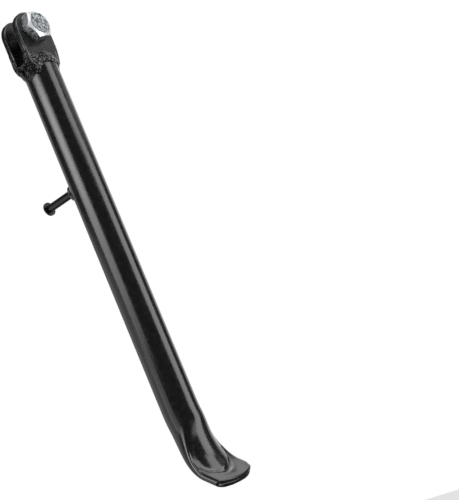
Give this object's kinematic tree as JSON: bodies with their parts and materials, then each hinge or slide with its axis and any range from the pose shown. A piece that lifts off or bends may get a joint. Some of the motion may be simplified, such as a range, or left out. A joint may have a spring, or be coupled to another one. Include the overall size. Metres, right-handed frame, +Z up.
{
  "type": "motorcycle side stand",
  "caption": "Bolt-on motorcycle kickstand: black tube leg with a pressed foot, welded two-ear clevis, spring post, pivot bolt and nut; it swings about the bolt.",
  "frame": {"origin": "middle of the pivot bolt, halfway between the two ears", "axes": "+Z up along the leg tube, +X along the pivot bolt to its head (outboard), +Y to the rear, where the leg folds"},
  "size_m": [0.0622, 0.0354, 0.3096],
  "materials": {
    "black_paint": "gloss black powder coat on steel",
    "black_weld": "gloss black powder coat on rippled weld",
    "zinc_plate": "bright zinc plate with spangle"
  },
  "bodies": {
    "pivot_set": {"pivot_bolt": "zinc_plate", "lock_nut": "zinc_plate"},
    "leg": {"leg_tube": "black_paint", "outer_ear": "black_paint", "inner_ear": "black_paint", "outer_ear_weld": "black_weld", "inner_ear_weld": "black_weld", "front_weld": "black_weld", "rear_weld": "black_weld", "spring_post": "black_paint", "post_weld": "black_weld"}
  },
  "joints": [
    {"name": "leg_swing", "type": "hinge", "parent": "pivot_set", "child": "leg", "pos_m": [0, 0, 0], "axis": [1, 0, 0], "range_deg": [0, 100]}
  ]
}
